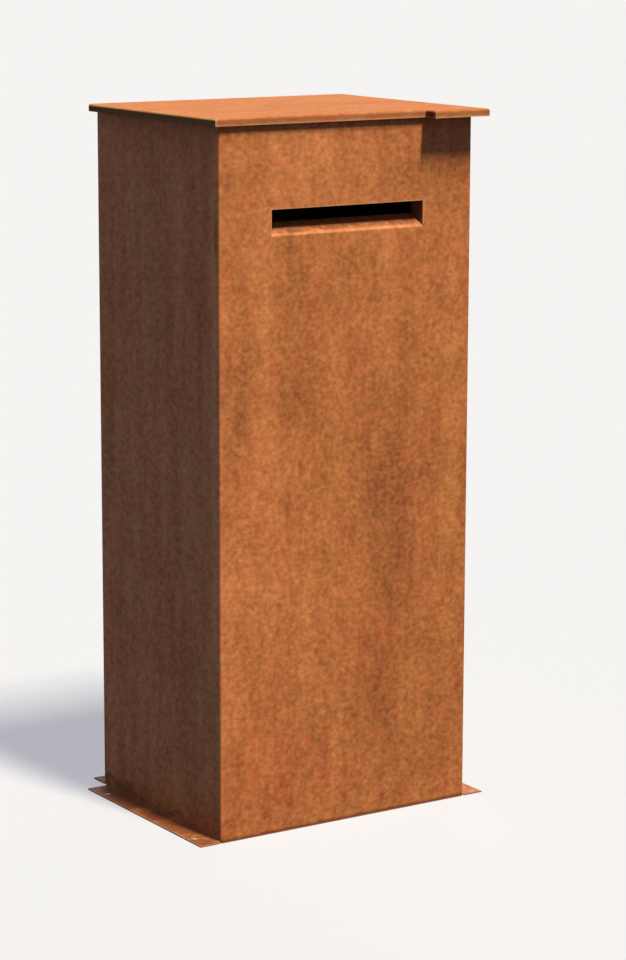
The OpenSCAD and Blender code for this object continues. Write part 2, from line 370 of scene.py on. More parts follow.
@dataclass(frozen=True)
class Patina:
    """Bare weathering steel, left outside until its rust has closed to a matt skin.

    The skin is iron oxide, so it isn't metallic and hardly shines. It gives the eye a fine
    orange-brown speckle, clouds where rain dried unevenly, and run-off streaks.

    Attributes:
        name: The material's name.
        tones: The colours from dark to light, with their places.
        red: The colour that the hue leans to where it is high.
        ochre: The colour that the hue leans to where it is low.
        worn: The colour along rubbed edges.
        noises: The noises of the tone.
        hues: The noises of the hue.
        patches: Patches that lie in one place.
        wear: Strength of the worn colour along edges.
        tint: Strength of the two hues.
        gloss: The skin's specular level.
        dull: Roughness where the tone is dark and where it is light.
        relief_mm: Height of the skin's pimples.
        edge_mm: How far the worn colour reaches from an edge.
        edge_turn: Turn of the surface at which it starts and at which it is full.
        stir_size_mm: Size of the swirls that bend a patch's outline.
        stir_mm: How far they bend it along X, Y and Z.
    """

    name: str
    tones: Stops
    red: str
    ochre: str
    worn: str
    noises: tuple[Blotches, ...]
    hues: tuple[Blotches, ...]
    patches: tuple[Patch, ...] = ()
    wear: float = 0.5
    tint: float = 0.85
    gloss: float = 0.5
    dull: Pair = (0.74, 0.56)
    relief_mm: float = 0.12
    edge_mm: float = 3.5
    edge_turn: Pair = (0.004, 0.16)
    stir_size_mm: float = 55.0
    stir_mm: Point = (45.0, 0.0, 90.0)

    def build(self) -> bpy.types.Material:
        """Makes the material.

        Returns:
            The material.
        """
        material, tree, shader, coords = new_surface(self.name, self.gloss)
        tone = add_up(tree, coords, self.noises)
        hue = add_up(tree, coords, self.hues)
        if self.patches:
            tone, hue = add_patches(
                tree, coords, self.stirred(tree, coords), self.patches, tone, hue,
            )
        ramp = add_node(tree, "ShaderNodeValToRGB", {"Fac": tone})
        fill_ramp(ramp, self.tones)
        colour = ramp.outputs["Color"]
        # each tint grows from a middling hue to a strong one
        for code, start, end in ((self.red, 0.5, 0.9), (self.ochre, 0.5, 0.1)):
            share = add_node(tree, "ShaderNodeMapRange", {
                "Value": hue, "From Min": start, "From Max": end, "To Max": self.tint,
            }).outputs[0]
            colour = add_node(tree, "ShaderNodeMix", {0: share, 6: colour, 7: srgb(code)},
                              data_type="RGBA", blend_type="SOFT_LIGHT").outputs[2]
        rubbed = add_node(tree, "ShaderNodeMath", {
            0: edge_mask(tree, self.edge_mm, self.edge_turn), 1: self.wear,
        }, operation="MULTIPLY").outputs[0]
        colour = add_node(tree, "ShaderNodeMix", {0: rubbed, 6: colour, 7: srgb(self.worn)},
                          data_type="RGBA").outputs[2]
        tree.links.new(colour, shader.inputs["Base Color"])
        dull = add_node(tree, "ShaderNodeMapRange", {
            "Value": tone, "From Min": 0.2, "From Max": 0.8,
            "To Min": self.dull[0], "To Max": self.dull[1],
        }).outputs[0]
        tree.links.new(dull, shader.inputs["Roughness"])
        grit = add_up(tree, coords, (
            Blotches((2.6, 2.6, 2.6), 0.7, 2, 3.1),    # crust pimples, as fine as they show
            Blotches((9, 9, 9), 0.5, 1, 8.2),          # scale that lifted and rusted again
        ))
        bump = add_node(tree, "ShaderNodeBump", {
            "Height": grit, "Distance": self.relief_mm * MM, "Strength": 1.0,
        })
        tree.links.new(bump.outputs[0], shader.inputs["Normal"])
        return material

    def stirred(self, tree: Tree, coords: Socket) -> Socket:
        """Bends the coordinates a little, so that a patch has an uneven outline.

        Args:
            tree: The material's node tree.
            coords: Coordinates in metres.

        Returns:
            The socket of the bent coordinates.
        """
        swirl = add_node(tree, "ShaderNodeTexNoise", {
            "Vector": coords, "Scale": 1 / (self.stir_size_mm * MM), "Detail": 3.0,
        })
        centred = add_node(tree, "ShaderNodeVectorMath", {
            0: swirl.outputs["Color"], 1: GREY,
        }, operation="SUBTRACT")
        return add_node(tree, "ShaderNodeVectorMath", {
            0: centred.outputs[0], 1: tuple(reach * MM for reach in self.stir_mm), 2: coords,
        }, operation="MULTIPLY_ADD").outputs[0]


FRONT_Y_MM = CAD_BOX[0].y / MM + 29.0     # the front wall's outer face, behind the lid's tab
TAB_Y_MM = CAD_BOX[0].y / MM + 12         # the middle of the lid's tab
RIM_X_MM = CAD_BOX[0].x / MM + 24         # the lid's left rim, above the left foot
TOP_Z_MM = CAD_BOX[1].z / MM              # the lid's top
WALL_X_MM = CAD_BOX[1].x / MM - 32.0      # the side walls' outer faces, inside the feet
ALL = 5000                                # a reach past the whole mailbox


def front_patch(
    x: float, z: float, wide: float, high: float, tone: float, hue: float = 0.0,
) -> Patch:
    """A patch on the front wall, from its middle, its reach to each side, tone and hue."""
    return Patch((x, FRONT_Y_MM, z), (wide, 40.0, high), tone, hue)


def side_patch(y: float, z: float, deep: float, high: float, tone: float, side: int = -1) -> Patch:
    """A patch on a side wall, the left one unless side is 1."""
    return Patch((side * WALL_X_MM, y, z), (40.0, deep, high), tone)


BODY_RUST = Patina(
    name="weathering_steel_patina",
    tones=((0.0, "6F350E"), (0.25, "945021"), (0.5, "B16633"), (0.75, "CA7A45"), (1.0, "E38E5A")),
    red="CC9CA4",
    ochre="B8C4A8",
    worn="D79C78",
    noises=(
        Blotches((6.5, 9, 5.7), 0.86, 3, 0.0),         # speckle of the crust, down to its grit
        Blotches((10, 14, 11), 0.50, 1, 4.0),          # mottling
        Blotches((26, 30, 60), 0.46, 2, 9.0),          # soft clouds, drawn down by rain
        Blotches((75, 75, 320), 0.42, 2, 15.0),        # broad wash marks
        Blotches((8, 20, 260), 0.14, 1, 21.0),         # run-off streaks
        Blotches((900, 24, 330), 0.50, 2, 27.0),       # broader streaks down the side walls
    ),
    hues=(
        Blotches((13, 13, 13), 0.8, 1, 30.0),
        Blotches((70, 70, 170), 0.5, 1, 36.0),
    ),
    patches=(
        front_patch(-133, 690, 20, 190, 0.16, -0.10),
        front_patch(-165, 420, 55, 190, 0.12, 0.10),
        front_patch(-99, 500, 12, 330, -0.10, -0.12),
        front_patch(-90, 765, 45, 70, -0.12, -0.10),
        front_patch(8, 752, 60, 60, -0.17, -0.08),
        front_patch(-140, 722, 50, 40, -0.08),
        front_patch(-125, 520, 75, 120, 0.20),
        front_patch(-18, 640, 24, 130, 0.13, -0.08),
        front_patch(58, 450, 75, 150, -0.14, -0.02),
        front_patch(0, 400, 42, 65, -0.12, 0.03),
        front_patch(-55, 365, 60, 40, -0.07),
        front_patch(65, 298, 42, 40, -0.08),
        front_patch(-45, 230, 32, 42, 0.12),
        front_patch(86, 330, 65, 150, -0.17),
        front_patch(45, 175, 65, 120, -0.15, 0.06),
        front_patch(45, 232, 30, 40, 0.10),
        front_patch(174, 520, 30, 360, 0.14, -0.10),
        front_patch(-60, 900, 120, 70, 0.12, -0.06),
        front_patch(-70, 190, 20, 130, 0.08, -0.08),
        front_patch(-150, 70, 110, 110, -0.08, 0.12),
        front_patch(60, 60, 220, 80, -0.07, 0.04),
        front_patch(75, 110, 50, 60, -0.08),
        # painted shadow: the front's top right is darker here, lengthening the soft lower edge of
        # the tab's shadow
        front_patch(175, 860, 40, 75, -0.14),
        # the side walls: damp low down, and streaked where the lid drips
        side_patch(-60, 190, 60, 190, -0.10),
        side_patch(-90, 25, 90, 50, -0.16),
        side_patch(125, 250, 45, 150, -0.18),
        side_patch(-20, 640, 24, 340, -0.12),
        side_patch(-95, 700, 28, 260, -0.10),
        side_patch(-143, 600, 18, 560, 0.22),
        # painted shade: the left wall's top band is darker under the lid's overhang
        Patch((-WALL_X_MM, 0, 950), (30, 500, 60), -0.16),
        side_patch(20, 800, 60, 200, 0.08),
        side_patch(40, 240, 90, 220, -0.18, side=1),
        side_patch(-60, 640, 40, 300, 0.10, side=1),
        # the outer skin of the fold between left side and front, rubbed paler
        Patch((-198.5, FRONT_Y_MM + 1.5, 480), (4.5, 4.5, ALL), 0.22, 0.10, crisp=True),
        # the feet and the walls' lowest few millimetres, darker and more ochre all over
        Patch((0, 0, 0), (ALL, ALL, 8), -0.32, -0.10, crisp=True),
        # painted shade: the rear of the left foot and the back foot's sliver, darker where the
        # body's shadow falls on them
        Patch((-216, 40, 0), (60, 290, 14), -0.55),
        Patch((-199, 185, 0), (90, 60, 14), -0.75),
        # painted shade: the top band of every wall is darker where the lid's overhang shades it
        Patch((0, 0, TOP_Z_MM - 8), (ALL, ALL, 34), -0.22, crisp=True),
        # the slot's bent-in lip, darker
        Patch((0, FRONT_Y_MM + 8.5, 812), (900, 8.4, 60), -0.46, crisp=True),
        # painted shade: a dark line along the front's lower edge, where it meets the floor
        Patch((0, FRONT_Y_MM, 0), (ALL, 6, 7), -0.55, crisp=True),
    ),
    wear=0.6,
)

LID_RUST = Patina(
    name="sun_bleached_patina",
    tones=((0.0, "783917"), (0.25, "934E25"), (0.5, "A6653A"), (0.75, "B9784A"), (1.0, "CC9065")),
    red="CC9CA4",
    ochre="B8C4A8",
    worn="DCA484",
    noises=(
        Blotches((3.6, 3.6, 3.6), 0.50, 1, 2.0),
        Blotches((13, 9, 9), 0.36, 1, 6.0),
        Blotches((60, 30, 30), 0.32, 2, 11.0),
        Blotches((260, 11, 11), 0.28, 1, 17.0),        # rain marks along the lid
    ),
    hues=(Blotches((18, 14, 14), 0.8, 1, 33.0), Blotches((110, 60, 60), 0.7, 1, 39.0)),
    patches=(
        # the rim: rubbed under the fold, paler still along the cut lower edge
        Patch((0, 0, TOP_Z_MM - 4), (ALL, ALL, 3.2), 0.08, crisp=True),
        Patch((0, 0, TOP_Z_MM - 10), (ALL, ALL, 4.5), 0.34, crisp=True),
        # painted light: the shaded left rim is paler, in place of the sheen that the walls'
        # glossier skin reflects
        Patch((RIM_X_MM, 0, TOP_Z_MM - 6), (5, ALL, 14), 0.52, crisp=True),
        # painted shade: the tab's left end is darker and redder, for the face that turns away from
        # the key
        Patch((119, TAB_Y_MM, 961), (3, 15, 12), -0.5, 0.2, crisp=True),
    ),
    wear=0.5,
    gloss=0.15,
    dull=(1.0, 0.94),
)

INNER_RUST = Patina(
    name="sheltered_steel_rust",
    tones=((0.0, "2E1D16"), (0.25, "4A2C1C"), (0.5, "6B4026"), (0.75, "8A5733"), (1.0, "A87048")),
    red="CC9CA4",
    ochre="B8C4A8",
    worn="9C6A48",
    noises=(
        Blotches((3.4, 3.4, 3.4), 0.45, 1, 5.0),
        Blotches((16, 16, 16), 0.5, 2, 10.0),
        Blotches((70, 70, 70), 0.5, 2, 19.0),
    ),
    hues=(Blotches((30, 30, 30), 0.8, 1, 31.0),),
    wear=0.35,
)


@dataclass(frozen=True)
class RustingSteel:
    """Plain cold-rolled steel that has begun to rust.

    Bare metal shows as a dull grey sheen, and rust spreads over it in matt brown blooms.

    Attributes:
        name: The material's name.
        metal: The bare metal's colour.
        rust: The rust's colours from dark to light.
        cover: Share of the surface under rust.
        polish: Roughness of the bare metal.
        relief_mm: Height of the rust's grain.
    """

    name: str
    metal: str
    rust: Stops
    cover: float
    polish: float
    relief_mm: float = 0.06

    def build(self) -> bpy.types.Material:
        """Makes the material.

        Returns:
            The material.
        """
        material, tree, shader, coords = new_surface(self.name)
        bloom = add_up(tree, coords, (
            Blotches((9, 9, 9), 1.2, 3, 2.0), Blotches((2.2, 2.2, 2.2), 0.5, 1, 7.0),
        ), middle=self.cover)
        mask = add_node(tree, "ShaderNodeMapRange", {
            "Value": bloom, "From Min": 0.30, "From Max": 0.75,
        }, interpolation_type="SMOOTHSTEP").outputs[0]
        ramp = add_node(tree, "ShaderNodeValToRGB", {
            "Fac": add_up(tree, coords, (
                Blotches((1.6, 1.6, 1.6), 0.7, 1, 11.0), Blotches((6, 6, 6), 0.5, 1, 13.0),
            )),
        })
        fill_ramp(ramp, self.rust)
        colour = add_node(tree, "ShaderNodeMix", {
            0: mask, 6: srgb(self.metal), 7: ramp.outputs["Color"],
        }, data_type="RGBA").outputs[2]
        tree.links.new(colour, shader.inputs["Base Color"])
        for name, bare, rusted in (("Metallic", 1.0, 0.0), ("Roughness", self.polish, 0.9)):
            value = add_node(tree, "ShaderNodeMapRange", {
                "Value": mask, "To Min": bare, "To Max": rusted,
            }).outputs[0]
            tree.links.new(value, shader.inputs[name])
        height = add_up(tree, coords, (Blotches((1.3, 1.3, 1.3), 0.8, 2, 17.0),))
        bump = add_node(tree, "ShaderNodeBump", {
            "Height": height, "Distance": self.relief_mm * MM,
        })
        tree.links.new(bump.outputs[0], shader.inputs["Normal"])
        return material


RUST_RAMP = ((0.0, "4A2615"), (0.35, "70391B"), (0.65, "94552B"), (1.0, "B9794A"))
HINGE_STEEL = RustingSteel("cold_rolled_steel_rusting", "5A514B", RUST_RAMP, 0.78, 0.55)
PIN_STEEL = RustingSteel("drawn_steel_pin", "7A726B", RUST_RAMP, 0.60, 0.42)
RIVET_STEEL = RustingSteel("steel_blind_rivet", "776F68", RUST_RAMP, 0.62, 0.46)
WELD_STEEL = RustingSteel("weld_metal_oxidised", "5E5853", RUST_RAMP, 0.72, 0.55)


@dataclass(frozen=True)
class MouldedRubber:
    """Black moulded rubber with a matt skin and a trace of rust dust.

    Attributes:
        name: The material's name.
        black: The rubber's colour.
        dust: The dust's colour.
        cover: Share of the surface under dust.
        relief_mm: Height of the skin's grain.
    """

    name: str = "moulded_rubber"
    black: str = "1C1B1A"
    dust: str = "5A3A28"
    cover: float = 0.35
    relief_mm: float = 0.04

    def build(self) -> bpy.types.Material:
        """Makes the material.

        Returns:
            The material.
        """
        material, tree, shader, coords = new_surface(self.name, specular=0.4)
        film = add_up(tree, coords, (
            Blotches((4, 4, 4), 0.9, 3, 1.0), Blotches((0.9, 0.9, 0.9), 0.4, 1, 3.0),
        ), middle=self.cover)
        share = add_node(tree, "ShaderNodeMapRange", {
            "Value": film, "From Min": 0.35, "From Max": 0.95, "To Max": 0.6,
        }).outputs[0]
        colour = add_node(tree, "ShaderNodeMix", {
            0: share, 6: srgb(self.black), 7: srgb(self.dust),
        }, data_type="RGBA").outputs[2]
        rough = add_node(tree, "ShaderNodeMapRange", {
            "Value": film, "To Min": 0.6, "To Max": 0.9,
        }).outputs[0]
        grain = add_node(tree, "ShaderNodeBump", {
            "Height": film, "Distance": self.relief_mm * MM,
        }).outputs[0]
        for name, socket in (("Base Color", colour), ("Roughness", rough), ("Normal", grain)):
            tree.links.new(socket, shader.inputs[name])
        return material


# ------------------------------------------------------------------ node-built parts


class Facing(Enum):
    """Way in which a turned part's head or free end points."""

    BACK = (-math.pi / 2, 0.0, 0.0)
    RIGHT = (0.0, math.pi / 2, 0.0)
    UP = (0.0, 0.0, 0.0)


@dataclass
class NodeShop:
    """Geometry Nodes trees that make the mailbox's repeated parts.

    Attributes:
        merge_mm: Distance under which a turned part's points become one.
        ripple_steps: Points along one ripple of a bead.
        ripple_depth: Share of a bead's radius that its ripples take.
        end_taper: Share of its radius that a bead loses at its ends.
        end_power: How late along the bead it does so.
        bead_sides: Points round a bead.
        lump_mm: Size of a bead's uneven lumps.
    """

    merge_mm: float = 0.002
    ripple_steps: float = 6.0
    ripple_depth: float = 0.22
    end_taper: float = 0.75
    end_power: float = 14.0
    bead_sides: int = 10
    lump_mm: float = 3.0

    def __post_init__(self) -> None:
        """Builds both trees."""
        self.turning = self.turning_tree()
        self.welding = self.welding_tree()

    @staticmethod
    def new_tree(
        name: str, inputs: Sequence[tuple[str, str, Any]],
    ) -> tuple[Tree, bpy.types.Node]:
        """Starts a tree with a geometry input and output.

        Args:
            name: The tree's name.
            inputs: Name, socket type and default value of each further input.

        Returns:
            The tree and its group input node.
        """
        tree = bpy.data.node_groups.new(name, "GeometryNodeTree")
        tree.interface.new_socket("Geometry", in_out="OUTPUT", socket_type="NodeSocketGeometry")
        tree.interface.new_socket("Geometry", in_out="INPUT", socket_type="NodeSocketGeometry")
        for label, kind, value in inputs:
            socket = tree.interface.new_socket(label, in_out="INPUT", socket_type=kind)
            if value is not None:
                socket.default_value = value
        return tree, tree.nodes.new("NodeGroupInput")

    @staticmethod
    def end_tree(tree: Tree, geometry: Socket, finish: Socket) -> None:
        """Ends a tree with Realize Instances and Set Material.

        Args:
            tree: The tree.
            geometry: What it has made.
            finish: The material that this takes.
        """
        real = add_node(tree, "GeometryNodeRealizeInstances", {0: geometry})
        dressed = add_node(tree, "GeometryNodeSetMaterial", {
            "Geometry": real.outputs[0], "Material": finish,
        })
        add_node(tree, "NodeGroupOutput", {0: dressed.outputs[0]})

    def turning_tree(self) -> Tree:
        """Builds the tree that turns a profile round an axis and sets a copy on each point.

        Returns:
            The tree.
        """
        tree, given = self.new_tree("turned_parts", (
            ("Profile", "NodeSocketObject", None),
            ("Segments", "NodeSocketInt", 32),
            ("Facing", "NodeSocketVector", None),
            ("Finish", "NodeSocketMaterial", None),
        ))
        profile = add_node(tree, "GeometryNodeObjectInfo", {"Object": given.outputs["Profile"]})
        count = add_node(tree, "GeometryNodeAttributeDomainSize", {0: profile.outputs["Geometry"]})
        rings = count.outputs["Point Count"]
        columns = add_node(tree, "ShaderNodeMath", {0: given.outputs["Segments"], 1: 1.0},
                           operation="ADD")
        grid = add_node(tree, "GeometryNodeMeshGrid", {
            "Vertices X": columns.outputs[0], "Vertices Y": rings,
        })
        index = add_node(tree, "GeometryNodeInputIndex").outputs[0]
        row = add_node(tree, "ShaderNodeMath", {0: index, 1: rings}, operation="MODULO")
        ratio = add_node(tree, "ShaderNodeMath", {0: index, 1: rings}, operation="DIVIDE")
        column = add_node(tree, "ShaderNodeMath", {0: ratio.outputs[0]}, operation="FLOOR")
        step = add_node(tree, "ShaderNodeMath", {0: math.tau, 1: given.outputs["Segments"]},
                        operation="DIVIDE")
        angle = add_node(tree, "ShaderNodeMath", {0: column.outputs[0], 1: step.outputs[0]},
                         operation="MULTIPLY").outputs[0]
        place = add_node(tree, "GeometryNodeInputPosition")
        sample = add_node(tree, "GeometryNodeSampleIndex", data_type="FLOAT_VECTOR")
        tree.links.new(profile.outputs["Geometry"], sample.inputs["Geometry"])
        tree.links.new(place.outputs[0], sample.inputs["Value"])
        tree.links.new(row.outputs[0], sample.inputs["Index"])
        point = add_node(tree, "ShaderNodeSeparateXYZ", {0: sample.outputs["Value"]})
        across = [
            add_node(tree, "ShaderNodeMath", {
                0: point.outputs["X"],
                1: add_node(tree, "ShaderNodeMath", {0: angle}, operation=turn).outputs[0],
            }, operation="MULTIPLY").outputs[0]
            for turn in ("COSINE", "SINE")
        ]
        turned = add_node(tree, "ShaderNodeCombineXYZ", {
            "X": across[0], "Y": across[1], "Z": point.outputs["Z"],
        })
        shaped = add_node(tree, "GeometryNodeSetPosition", {
            "Geometry": grid.outputs["Mesh"], "Position": turned.outputs[0],
        })
        closed = add_node(tree, "GeometryNodeMergeByDistance", {
            "Geometry": shaped.outputs[0], "Distance": self.merge_mm * MM,
        })
        # a profile runs from the top down, which leaves the faces pointing inwards
        outward = add_node(tree, "GeometryNodeFlipFaces", {0: closed.outputs[0]})
        copies = add_node(tree, "GeometryNodeInstanceOnPoints", {
            "Points": given.outputs["Geometry"], "Instance": outward.outputs[0],
            "Rotation": given.outputs["Facing"],
        })
        self.end_tree(tree, copies.outputs[0], given.outputs["Finish"])
        return tree

    def welding_tree(self) -> Tree:
        """Builds the tree that lays a rippled weld bead along each edge of a mesh.

        Returns:
            The tree.
        """
        tree, given = self.new_tree("weld_beads", (
            ("Radius", "NodeSocketFloat", 1.5 * MM),
            ("Ripple", "NodeSocketFloat", 2.4 * MM),
            ("Unevenness", "NodeSocketFloat", 0.25 * MM),
            ("Seed", "NodeSocketFloat", 7.0),
            ("Finish", "NodeSocketMaterial", None),
        ))
        fine = add_node(tree, "ShaderNodeMath", {
            0: given.outputs["Ripple"], 1: self.ripple_steps,
        }, operation="DIVIDE")
        path = add_node(tree, "GeometryNodeMeshToCurve", {0: given.outputs["Geometry"]})
        stepped = add_node(tree, "GeometryNodeResampleCurve", {
            "Curve": path.outputs[0], "Length": fine.outputs[0],
        }, mode="LENGTH")
        along = add_node(tree, "GeometryNodeSplineParameter")
        phase = add_node(tree, "ShaderNodeMath", {
            0: along.outputs["Length"], 1: given.outputs["Ripple"],
        }, operation="DIVIDE")
        wave = add_node(tree, "ShaderNodeMath", {
            0: add_node(tree, "ShaderNodeMath", {0: phase.outputs[0], 1: math.pi},
                        operation="MULTIPLY").outputs[0],
        }, operation="SINE")
        swell = add_node(tree, "ShaderNodeMath", {0: wave.outputs[0]}, operation="ABSOLUTE")
        crest = add_node(tree, "ShaderNodeMath", {
            0: swell.outputs[0], 1: self.ripple_depth, 2: 1.0 - self.ripple_depth,
        }, operation="MULTIPLY_ADD")
        centred = add_node(tree, "ShaderNodeMath", {0: along.outputs["Factor"], 1: 2.0, 2: -1.0},
                           operation="MULTIPLY_ADD")
        distance = add_node(tree, "ShaderNodeMath", {0: centred.outputs[0]}, operation="ABSOLUTE")
        outward = add_node(tree, "ShaderNodeMath", {
            0: distance.outputs[0], 1: self.end_power,
        }, operation="POWER")
        taper = add_node(tree, "ShaderNodeMath", {
            0: outward.outputs[0], 1: -self.end_taper, 2: 1.0,
        }, operation="MULTIPLY_ADD")
        size = add_node(tree, "ShaderNodeMath", {
            0: add_node(tree, "ShaderNodeMath", {0: crest.outputs[0], 1: taper.outputs[0]},
                        operation="MULTIPLY").outputs[0],
            1: given.outputs["Radius"],
        }, operation="MULTIPLY")
        section = add_node(tree, "GeometryNodeCurvePrimitiveCircle", {
            "Resolution": self.bead_sides, "Radius": 1.0,
        })
        bead = add_node(tree, "GeometryNodeCurveToMesh", {
            "Curve": stepped.outputs[0], "Profile Curve": section.outputs[0],
            "Scale": size.outputs[0], "Fill Caps": True,
        })
        noise = add_node(tree, "ShaderNodeTexNoise", {
            "Scale": 1 / (self.lump_mm * MM), "W": given.outputs["Seed"],
        }, noise_dimensions="4D")
        shift = add_node(tree, "ShaderNodeVectorMath", {0: noise.outputs["Color"], 1: GREY},
                         operation="SUBTRACT")
        pushed = add_node(tree, "ShaderNodeVectorMath", {
            0: shift.outputs[0], "Scale": given.outputs["Unevenness"],
        }, operation="SCALE")
        uneven = add_node(tree, "GeometryNodeSetPosition", {
            "Geometry": bead.outputs[0], "Offset": pushed.outputs[0],
        })
        self.end_tree(tree, uneven.outputs[0], given.outputs["Finish"])
        return tree

    @staticmethod
    def finish(
        tree: Tree,
        name: str,
        base: bpy.types.Mesh,
        values: dict[str, Any],
    ) -> bpy.types.Object:
        """Runs a tree on a base mesh and keeps the result as a plain mesh.

        Args:
            tree: The tree to run.
            name: The piece's name.
            base: The points or edges that it builds on.
            values: A value for each named input.

        Returns:
            The piece, at the origin, without modifiers.
        """
        holder = link_object(name + "_base", base)
        modifier = holder.modifiers.new("build", "NODES")
        modifier.node_group = tree
        for socket in tree.interface.items_tree:
            if socket.in_out == "INPUT" and socket.name in values:
                modifier[socket.identifier] = values[socket.name]
        graph = bpy.context.evaluated_depsgraph_get()
        mesh = bpy.data.meshes.new_from_object(
            holder.evaluated_get(graph), preserve_all_data_layers=True, depsgraph=graph,
        )
        bpy.data.objects.remove(holder)
        mesh.name = name
        mesh.shade_smooth()
        mesh.set_sharp_from_angle(angle=SHARP)
        piece = link_object(name, mesh)
        log.info("%s: %d faces", name, len(mesh.polygons))
        return piece

    def turn(
        self,
        name: str,
        profile: Sequence[Pair],
        points: Iterable[Point],
        facing: Facing,
        material: bpy.types.Material,
        segments: int = 32,
    ) -> bpy.types.Object:
        """Makes turned parts on points.

        Args:
            name: The piece's name.
            profile: Radius and height of each point of the profile, in millimetres.
            points: Where the profile's origin goes.
            facing: Which way its height points.
            material: The finish.
            segments: Faces round the axis.

        Returns:
            The piece.
        """
        shape = link_object(name + "_profile", mesh_from(
            name + "_profile", [(r * MM, 0.0, z * MM) for r, z in profile],
        ))
        piece = self.finish(self.turning, name, mesh_from(name, points), {
            "Profile": shape, "Segments": segments, "Facing": facing.value, "Finish": material,
        })
        bpy.data.objects.remove(shape)
        return piece

    def weld(
        self,
        name: str,
        runs: Sequence[Run],
        radius_mm: float,
        material: bpy.types.Material,
    ) -> bpy.types.Object:
        """Lays weld beads along straight runs.

        Args:
            name: The piece's name.
            runs: Start and end of each run.
            radius_mm: Radius of the bead.
            material: The finish.

        Returns:
            The piece.
        """
        points = [p for run in runs for p in run]
        edges = [(2 * i, 2 * i + 1) for i in range(len(runs))]
        return self.finish(self.welding, name, mesh_from(name, points, edges), {
            "Radius": radius_mm * MM, "Finish": material,
        })


# ------------------------------------------------------------------ sub-assemblies


@dataclass
class Rivets:
    """Domed steel blind rivets, with the hollow where the pulled stem broke off.

    Attributes:
        node: The CAD node that they stand for.
        body: The body that they ride on.
        head_mm: Diameter and height of the head.
        shank_mm: Diameter of the shank.
        tail_mm: Diameter and height of the bulge on the blind side.
        stem_mm: Diameter of the stem.
        wall_mm: Flat rim that the stem's hole leaves on the head.
        dome_share: Share of the head's height that is domed.
        stump_mm: Depth of the broken stem in its hole.
        groove_mm: Depth of the groove round it.
    """

    node: str
    body: str = "box"
    head_mm: Pair = (7.5, 1.2)
    shank_mm: float = 4.0
    tail_mm: Pair = (5.6, 2.0)
    stem_mm: float = 2.2
    wall_mm: float = 0.25
    dome_share: float = 0.82
    stump_mm: float = 0.45
    groove_mm: float = 0.8

    def profile(self, length: float) -> list[Pair]:
        """Draws the rivet from the middle of its head down to its tail.

        Args:
            length: Length over head and tail, in millimetres.

        Returns:
            Radius and height of each point.
        """
        head, head_h = self.head_mm[0] / 2, self.head_mm[1]
        tail, tail_h = self.tail_mm[0] / 2, self.tail_mm[1]
        shank, stem = self.shank_mm / 2, self.stem_mm / 2
        rim = stem + self.wall_mm
        dome = [
            (rim + (head - rim) * math.sin(a), -self.dome_share * head_h * (1 - math.cos(a)))
            for a in (math.radians(d) for d in range(0, 91, 15))
        ]
        bulge = [
            (shank + (tail - shank) * math.sin(a), -length + tail_h * (0.5 + 0.5 * math.cos(a)))
            for a in (math.radians(d) for d in range(0, 151, 30))
        ]
        return [
            (0.0, -self.stump_mm), (stem * 0.6, -self.stump_mm - 0.05),
            (stem * 0.85, -self.groove_mm), (stem, -self.groove_mm), (stem + 0.05, -0.15),
            *dome, (head, -head_h), (shank, -head_h), *bulge,
            (stem, -length), (stem * 0.9, -length + 0.4), (0.0, -length + 0.45),
        ]

    def build(self, shop: NodeShop, material: bpy.types.Material) -> None:
        """Makes the rivets in place of their CAD node.

        Args:
            shop: The node trees.
            material: The finish.
        """
        boxes = solids_of(self.node)
        length = (boxes[0][1].y - boxes[0][0].y) / MM
        points = [((lo.x + hi.x) / 2, hi.y, (lo.z + hi.z) / 2) for lo, hi in boxes]
        piece = shop.turn("domed_" + self.node, self.profile(length), points, Facing.BACK, material)
        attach(piece, self.body)
        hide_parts(self.node)


@dataclass
class HingePins:
    """Hinge pins with peened, domed ends.

    Attributes:
        nodes: The CAD nodes that they stand for.
        pin_mm: Diameter of the pin.
        head_mm: Diameter and height of each head.
        dome_share: Share of a head's height that is domed.
    """

    nodes: tuple[str, str] = ("left_hinge_pin", "right_hinge_pin")
    pin_mm: float = 5.0
    head_mm: Pair = (7.0, 1.5)
    dome_share: float = 0.75

    def build(self, shop: NodeShop, material: bpy.types.Material) -> None:
        """Makes both pins.

        Args:
            shop: The node trees.
            material: The finish.
        """
        boxes = [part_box(node) for node in self.nodes]
        half = (boxes[0][1].x - boxes[0][0].x) / 2 / MM
        radius, head, head_h = self.pin_mm / 2, self.head_mm[0] / 2, self.head_mm[1]
        end = [
            (head * math.sin(a), half - head_h * self.dome_share * (1 - math.cos(a)))
            for a in (math.radians(d) for d in range(0, 91, 15))
        ] + [(head, half - head_h), (radius, half - head_h)]
        profile = end + [(r, -z) for r, z in reversed(end)]
        points = [tuple((lo + hi) / 2) for lo, hi in boxes]
        piece = shop.turn("peened_hinge_pins", profile, points, Facing.RIGHT, material)
        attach(piece, "box")
        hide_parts(*self.nodes)


